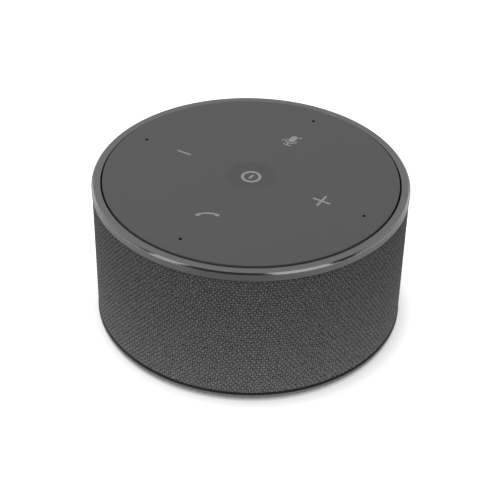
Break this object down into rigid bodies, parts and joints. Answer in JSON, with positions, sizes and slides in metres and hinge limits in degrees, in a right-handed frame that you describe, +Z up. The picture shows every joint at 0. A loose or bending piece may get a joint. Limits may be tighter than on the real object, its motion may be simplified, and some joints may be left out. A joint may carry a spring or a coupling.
{
  "type": "conference speakerphone",
  "caption": "Round cloth-covered conference speakerphone with a soft top panel of press keys in a trim ring, a loudspeaker inside and a USB-C port at the back.",
  "frame": {"origin": "centre of the foot's underside, on the table", "axes": "+Z up along the drum, +X to the volume-up key, -Y to the call key at the front, +Y to the port at the back"},
  "size_m": [0.104, 0.104, 0.0515],
  "materials": {
    "soft_skin": "matte, soft to the touch",
    "anodised_ring": "satin top face, polished outer edge",
    "woven_cloth": "fine plain weave",
    "black_moulding": "fine texture",
    "grey_moulding": "satin",
    "black_rubber": "matte",
    "pale_plastic": "plain",
    "circuit_board": "solder mask",
    "bare_steel": "zinc plated",
    "gilt_metal": "gilt cans",
    "ferrite": "sintered",
    "copper_wire": "enamelled",
    "stiff_paper": "pressed pulp",
    "cell_foil": "laminated foil",
    "red_insulation": "smooth"
  },
  "bodies": {
    "housing": {"touch_skin": "soft_skin", "panel_carrier": "black_moulding", "trim_ring": "anodised_ring", "cloth_sleeve": "woven_cloth", "slotted_drum": "black_moulding", "base_cover": "grey_moulding", "foot_ring": "black_rubber", "tact_switches": "black_moulding", "microphones": "gilt_metal", "mic_seals": "black_rubber", "key_board": "circuit_board", "key_board_screws": "bare_steel", "top_frame": "black_moulding", "top_frame_screws": "bare_steel", "chamber_tub": "black_moulding", "chamber_seal": "black_rubber", "baffle": "black_moulding", "baffle_screws": "bare_steel", "chamber_screws": "bare_steel", "lead_grommet": "black_rubber", "driver_gasket": "black_rubber", "driver_basket": "bare_steel", "driver_screws": "bare_steel", "front_plate": "bare_steel", "magnet": "ferrite", "yoke": "bare_steel", "terminal_block": "pale_plastic", "surround": "black_rubber", "spider": "stiff_paper", "main_board": "circuit_board", "board_screws": "bare_steel", "shield_can": "bare_steel", "board_chips": "black_moulding", "board_sockets": "pale_plastic", "usb_shell": "bare_steel", "usb_tongue": "black_moulding", "port_bezel": "black_moulding", "battery_cell": "cell_foil", "battery_pad": "black_rubber", "ribbon_cable": "pale_plastic", "speaker_lead": "red_insulation", "battery_lead": "red_insulation", "base_screws": "bare_steel"},
    "power_button": {"power_key": "black_moulding", "power_stem": "pale_plastic"},
    "volume_up_button": {"volume_up_key": "black_moulding", "volume_up_stem": "pale_plastic"},
    "mute_button": {"mute_key": "black_moulding", "mute_stem": "pale_plastic"},
    "volume_down_button": {"volume_down_key": "black_moulding", "volume_down_stem": "pale_plastic"},
    "call_button": {"call_key": "black_moulding", "call_stem": "pale_plastic"},
    "cone_assembly": {"cone": "stiff_paper", "dust_cap": "stiff_paper", "coil_former": "stiff_paper", "coil_winding": "copper_wire"}
  },
  "joints": [
    {"name": "power_press", "type": "slide", "parent": "housing", "child": "power_button", "axis": [0, 0, -1], "range_m": [0, 0.0003], "stiffness_N_per_m": 6000},
    {"name": "volume_up_press", "type": "slide", "parent": "housing", "child": "volume_up_button", "axis": [0, 0, -1], "range_m": [0, 0.0003], "stiffness_N_per_m": 6000},
    {"name": "mute_press", "type": "slide", "parent": "housing", "child": "mute_button", "axis": [0, 0, -1], "range_m": [0, 0.0003], "stiffness_N_per_m": 6000},
    {"name": "volume_down_press", "type": "slide", "parent": "housing", "child": "volume_down_button", "axis": [0, 0, -1], "range_m": [0, 0.0003], "stiffness_N_per_m": 6000},
    {"name": "call_press", "type": "slide", "parent": "housing", "child": "call_button", "axis": [0, 0, -1], "range_m": [0, 0.0003], "stiffness_N_per_m": 6000},
    {"name": "cone_stroke", "type": "slide", "parent": "housing", "child": "cone_assembly", "axis": [0, 0, 1], "range_m": [-0.0015, 0.0015], "stiffness_N_per_m": 1200, "deforming": ["surround", "spider"]}
  ]
}
